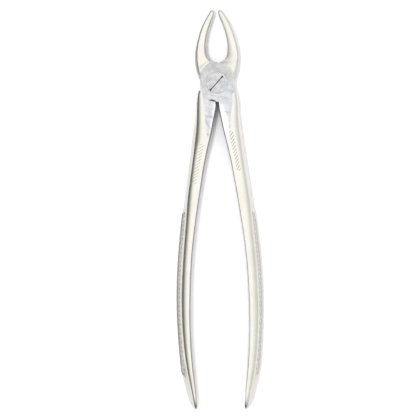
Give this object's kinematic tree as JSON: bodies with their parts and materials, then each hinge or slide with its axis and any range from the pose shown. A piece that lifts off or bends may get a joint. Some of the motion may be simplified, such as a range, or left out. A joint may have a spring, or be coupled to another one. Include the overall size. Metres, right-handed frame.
{
  "type": "dental extraction forceps",
  "caption": "Straight steel forceps for drawing upper front teeth: curved hollowed beaks, screwed lap joint, long bowed handles with cross-cut grips.",
  "frame": {"origin": "on the joint screw's axis, at the ground rear face that the forceps lie on", "axes": "+Y along the forceps to the beak tips, +Z out of the front face along the screw's axis, +X to the side where the front lever's handle opens"},
  "size_m": [0.0384, 0.1783, 0.01],
  "materials": {
    "satin_steel": "satin stainless steel, joint faces ground",
    "screw_steel": "ground stainless steel, flush slotted head"
  },
  "bodies": {
    "rear": {"rear_lever": "satin_steel", "joint_screw": "screw_steel"},
    "front": {"front_lever": "satin_steel"}
  },
  "joints": [
    {"name": "lever_pivot", "type": "hinge", "parent": "rear", "child": "front", "pos_m": [0, 0, 0.005], "axis": [0, 0, 1], "range_deg": [0, 34]}
  ]
}
